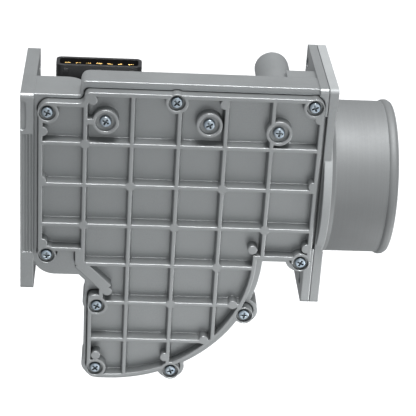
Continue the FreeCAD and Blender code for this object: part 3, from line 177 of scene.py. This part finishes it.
def cast_metal(name, color, rough=(0.36, 0.50), grain=1.0, metallic=0.72, turned=None):
    """Die-cast aluminium after blasting: fine grain, faint flow marks, edges brightened by rubbed wear and a
    painted highlight, painted shade darkening the corners.

    With turned, a plane in X and a factor, what lies past the plane is machined and has its own tone.
    """
    n = Nodes(name)
    blotch = n.noise(26.0, 4.0, 0.6)
    flow = n.noise(60.0, 5.0, 0.65, (1.0, 1.0, 0.35))
    fine = n.noise(1300.0, 2.0, 0.5)
    pits = n.cells(2100.0)
    tone = n.mix(n.span(blotch, 0.3, 0.7, 0.0, 1.0), scaled(color, 0.93), scaled(color, 1.06))
    tone = n.mix(n.span(flow, 0.52, 0.75, 0.0, 0.35), tone, scaled(color, 0.86))
    tone = n.mix(n.span(fine, 0.35, 0.65, 0.0, 0.5), tone, scaled(color, 1.1))
    if turned:
        plane, factor = turned
        past = n.math("GREATER_THAN", n.axis("X"), plane)
        rings = n.noise(1.0, 3.0, 0.7, (1500.0, 14.0, 14.0))
        skin = n.mix(n.span(rings, 0.3, 0.7, 0.0, 1.0), scaled(color, factor * 0.965),
                     scaled(color, factor * 1.035))
        skin = n.mix(n.span(blotch, 0.45, 0.75, 0.0, 0.6), skin, scaled(color, factor * 0.9))
        tone = n.mix(past, tone, skin)
    # Painted shade: corners and rib roots darkened towards CORNER_SHADE of the colour.
    tone = n.mix(n.corner_shade_mask(0.0015), scaled(color, CORNER_SHADE), tone)
    # Edges lightened: partly rubbed wear, partly a painted highlight along rims and rib edges.
    tone = n.mix(n.edges(0.0005), tone, scaled(color, 1.4))
    rough_value = n.roughness(blotch, 0.6, fine, rough)
    normal = n.bump(flow, 0.25 * grain, 0.0002, n.rounded(0.0008))
    normal = n.bump(fine, 0.30 * grain, 0.00007, normal)
    normal = n.bump(pits, 0.18 * grain, 0.00004, normal)
    return n.finish(tone, rough_value, normal, metallic)


def turned_metal(name, color, pitch, rough, metallic, axis):
    """Lathe-turned metal, with fine rings across its axis (0 to 2 for X to Z)."""
    n = Nodes(name)
    stretch = [18.0, 18.0, 18.0]
    stretch[axis] = pitch
    rings = n.noise(1.0, 4.0, 0.7, tuple(stretch))
    blotch = n.noise(40.0, 4.0)
    tone = n.mix(n.span(rings, 0.35, 0.65, 0.0, 1.0), scaled(color, 0.94), scaled(color, 1.06))
    tone = n.mix(n.span(blotch, 0.4, 0.75, 0.0, 0.5), tone, scaled(color, 0.9))
    # Painted shade: corners darkened towards 0.6 of the colour.
    tone = n.mix(n.corner_shade_mask(0.004), scaled(color, 0.6), tone)
    tone = n.mix(n.edges(0.0005), tone, scaled(color, 1.25))
    rough_value = n.roughness(rings, 0.5, blotch, rough)
    normal = n.bump(rings, 0.35, 0.00003, n.rounded(0.0003))
    return n.finish(tone, rough_value, normal, metallic)


def plated(name, color, rough, tint=(0.9, 0.97, 1.06)):
    """Plated or rolled metal with handling marks, hazed in places by a tint."""
    n = Nodes(name)
    cool = tuple(a * b for a, b in zip(color, tint))
    haze = n.noise(330.0, 4.0, 0.6)
    scratch = n.noise(1.0, 6.0, 0.7, (260.0, 2600.0, 700.0))
    tone = n.mix(n.span(haze, 0.35, 0.7, 0.0, 1.0), color, cool)
    # Painted shade: corners darkened towards 0.35 of the colour.
    tone = n.mix(n.corner_shade_mask(0.0015), scaled(color, 0.35), tone)
    tone = n.mix(n.edges(0.0003), tone, scaled(color, 1.2))
    rough_value = n.span(haze, 0.3, 0.7, *rough)
    normal = n.bump(scratch, 0.12, 0.00002, n.rounded(0.00025))
    return n.finish(tone, rough_value, normal, 1.0)


def moulded(name, color, rough, wear, grain=0.2):
    """Moulded plastic or rubber with a fine spark-eroded texture, lighter where it wears."""
    n = Nodes(name)
    skin = n.noise(1700.0, 2.0)
    blotch = n.noise(45.0, 3.0)
    dust = n.noise(14.0, 6.0, 0.7)
    tone = n.mix(n.span(blotch, 0.35, 0.7, 0.0, 1.0), scaled(color, 0.85), scaled(color, 1.15))
    tone = n.mix(n.span(dust, 0.55, 0.8, 0.0, 0.25), tone, scaled(color, wear))
    tone = n.mix(n.edges(0.0004), tone, scaled(color, wear * 1.3))
    rough_value = n.roughness(blotch, 0.5, skin, rough)
    normal = n.bump(skin, grain, 0.00005, n.rounded(0.0003))
    return n.finish(tone, rough_value, normal, 0.0)


# Inner and outer radius from the shaft. The wiper runs on the resistor.
RESISTOR = (24.5 * MM, 29.5 * MM)
TRACE = (31.0 * MM, 31.8 * MM)


def circuit_ceramic(name):
    """A thick-film board: a white base with a dark resistor arc and a thin trace round the shaft."""
    n = Nodes(name)
    base = n.mix(n.span(n.noise(90.0), 0.3, 0.7, 0.0, 1.0), (0.62, 0.63, 0.60), (0.72, 0.72, 0.69))
    hinge = JOINTS["vane_hinge"]["pos_m"]
    dx = n.math("SUBTRACT", n.axis("X"), hinge[0])
    dz = n.math("SUBTRACT", n.axis("Z"), hinge[2])
    far = n.math("SQRT", n.math("ADD", n.math("MULTIPLY", dx, dx), n.math("MULTIPLY", dz, dz)), 0.0)
    arc, ring = (n.math("MULTIPLY", n.math("GREATER_THAN", far, inner), n.math("LESS_THAN", far, outer))
                 for inner, outer in (RESISTOR, TRACE))
    tone = n.mix(arc, base, (0.035, 0.033, 0.03))
    tone = n.mix(ring, tone, (0.50, 0.47, 0.38))
    rough_value = n.span(n.noise(400.0), 0.3, 0.7, 0.35, 0.55)
    return n.finish(tone, rough_value, n.bump(arc, 0.3, 0.00005, n.rounded(0.0002)), 0.0)


PAST_PLATE = 4.5 * MM  # from the gasket to just behind the outlet plate
NECK_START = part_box("outlet_gasket")[1][0] + PAST_PLATE
GREY = (0.352, 0.367, 0.372)
MATERIALS = {
    "cast_aluminium": cast_metal("cast_body", GREY),
    "cast_cover": cast_metal("cast_ribbed", scaled(GREY, 0.93)),
    "turned_neck": cast_metal("neck_metal", GREY, rough=(0.54, 0.70), grain=0.8, metallic=0.30,
                              turned=(NECK_START, 0.54)),
    "zinc_screw": plated("zinc_blue", (0.44, 0.50, 0.54), rough=(0.3, 0.48)),
    "steel": plated("bright_steel", (0.50, 0.50, 0.51), rough=(0.25, 0.42), tint=(0.98, 1.0, 1.02)),
    "vane_cast": cast_metal("vane_metal", (0.50, 0.51, 0.52), rough=(0.35, 0.5), grain=0.7),
    "bronze": turned_metal("sintered_bronze", (0.42, 0.27, 0.12), pitch=700.0, rough=(0.4, 0.6),
                           metallic=0.9, axis=1),
    "pin_gold": plated("tinned_brass", (0.78, 0.50, 0.16), rough=(0.18, 0.35), tint=(1.0, 1.06, 1.2)),
    "black_plastic": moulded("black_resin", (0.016, 0.016, 0.017), rough=(0.34, 0.5), wear=2.2),
    "white_plastic": moulded("ivory_resin", (0.62, 0.58, 0.48), rough=(0.35, 0.5), wear=1.1),
    "ceramic": circuit_ceramic("thick_film"),
    "seal_rubber": moulded("black_rubber", (0.012, 0.012, 0.012), rough=(0.6, 0.8), wear=2.5, grain=0.4),
    "gasket_paper": moulded("gasket_fibre", (0.150, 0.155, 0.158), rough=(0.75, 0.9), wear=1.2, grain=0.5),
}


def dress(obj, material):
    obj.data.materials.clear()
    obj.data.materials.append(material)


for entry in frame["record"]["subparts"]:
    dress(NODES[entry["node"]], MATERIALS[entry["material_slot"]])


# ---- Studio: plain pale floor, soft light from above ----

low, high = (Vector(corner) for corner in rest_bounds)
centre = (low + high) / 2

FLOOR_SIZE = 60.0
FLOOR_DROP = 0.30  # far enough below for its shadow to fall out of the picture
SKY_STRENGTH = 0.42


def plain(name, color, roughness):
    n = Nodes(name)
    tone = n.mix(n.span(n.noise(2.0), 0.3, 0.7, 0.0, 1.0), color, scaled(color, 0.985))
    n.link(tone, n.shader.inputs["Base Color"])
    n.shader.inputs["Roughness"].default_value = roughness
    return n.mat


def floor():
    bpy.ops.mesh.primitive_plane_add(size=FLOOR_SIZE, location=(centre.x, centre.y, low.z - FLOOR_DROP))
    plane = bpy.context.object
    plane.name = "studio_floor"
    plane.data.materials.append(plain("studio_white", (0.70, 0.705, 0.71), 0.9))
    plane.visible_diffuse = False
    plane.visible_glossy = False


def soft_sun(name, power, azimuth, elevation, spread):
    """Wide, even light from a bearing. Azimuth 0 is in front of the cover, and minus is to the right."""
    data = bpy.data.lights.new(name, "SUN")
    data.energy = power
    data.angle = math.radians(spread)
    light = bpy.data.objects.new(name, data)
    bpy.context.scene.collection.objects.link(light)
    a, e = math.radians(azimuth), math.radians(elevation)
    away = Vector((-math.sin(a) * math.cos(e), -math.cos(a) * math.cos(e), math.sin(e)))
    light.rotation_euler = (-away).to_track_quat("-Z", "Y").to_euler()


def soft_panel(name, size, power, target, offset):
    """A square diffuser at an offset from the point that it lights."""
    data = bpy.data.lights.new(name, "AREA")
    data.size = size
    data.energy = power
    light = bpy.data.objects.new(name, data)
    bpy.context.scene.collection.objects.link(light)
    light.location = target + Vector(offset)
    light.rotation_euler = (-Vector(offset)).to_track_quat("-Z", "Y").to_euler()


def studio():
    world = bpy.data.worlds.new("studio")
    world.use_nodes = True
    sky = world.node_tree.nodes["Background"]
    sky.inputs["Color"].default_value = (0.97, 0.985, 1.0, 1.0)
    sky.inputs["Strength"].default_value = SKY_STRENGTH
    bpy.context.scene.world = world
    soft_sun("top_light", power=4.6, azimuth=-18.0, elevation=80.0, spread=26.0)
    soft_sun("front_light", power=0.76, azimuth=-24.0, elevation=-4.0, spread=50.0)
    neck = Vector((high.x - 18.0 * MM, 0.0, 0.0))
    soft_panel("low_fill", size=0.25, power=0.14, target=centre, offset=(0.03, -0.20, -0.215))
    soft_panel("neck_fill", size=0.10, power=0.16, target=neck, offset=(0.10, -0.07, -0.11))


LENS, SENSOR = 129.8, 36.0
EYE = (43.33, -667.8, 324.9)  # millimetres
PAN, TILT, ROLL = 4.14, 27.3, 3.61  # degrees


def camera():
    """A long lens, from in front and above, slightly turned and rolled."""
    pan, tilt, roll = (math.radians(angle) for angle in (PAN, TILT, ROLL))
    data = bpy.data.cameras.new("view")
    data.sensor_width = SENSOR
    data.lens = LENS
    data.clip_end = 20.0
    cam = bpy.data.objects.new("view", data)
    bpy.context.scene.collection.objects.link(cam)
    forward = Vector((math.sin(pan) * math.cos(tilt), math.cos(pan) * math.cos(tilt), -math.sin(tilt)))
    level = forward.cross(Vector((0, 0, 1))).normalized()
    up = level.cross(forward)
    right = level * math.cos(roll) + up * math.sin(roll)
    up = right.cross(forward)
    turn = Matrix((right, up, -forward)).transposed()
    cam.matrix_world = Matrix.Translation(Vector(EYE) * MM) @ turn.to_4x4()
    bpy.context.scene.camera = cam


floor()
studio()
camera()
bpy.context.scene.view_settings.view_transform = "Standard"
